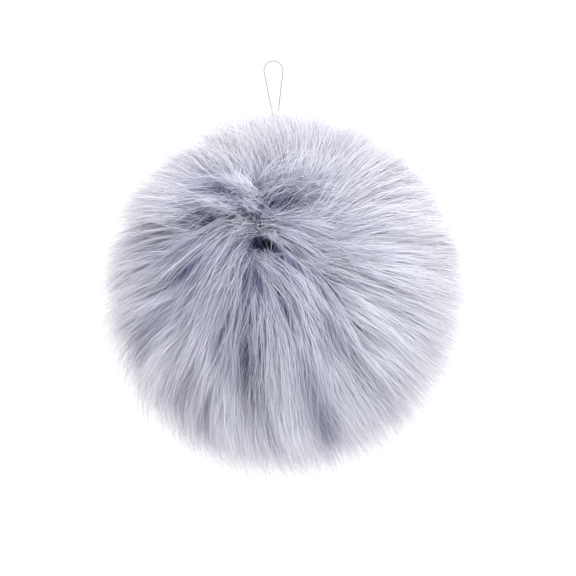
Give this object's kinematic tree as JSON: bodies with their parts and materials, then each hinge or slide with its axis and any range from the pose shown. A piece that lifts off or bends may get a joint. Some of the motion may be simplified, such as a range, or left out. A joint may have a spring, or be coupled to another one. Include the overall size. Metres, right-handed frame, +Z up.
{
  "type": "faux-fur pom pom on a thread loop",
  "caption": "Round long-pile faux-fur pom pom, combed away from a crown on its upper front, hanging from a loop of fine clear thread.",
  "frame": {"origin": "top of the thread's loop, where something outside the part holds it", "axes": "+Z up along the way it hangs, +Y away from the front, which is the side with the crown"},
  "size_m": [0.1224, 0.1188, 0.1439],
  "materials": {
    "fur": "long soft acrylic pile, lavender grey with pale tips",
    "nylon_thread": "fine clear nylon monofilament"
  },
  "bodies": {
    "root": {"fur_ball": "fur", "hanging_thread": "nylon_thread"}
  },
  "joints": []
}
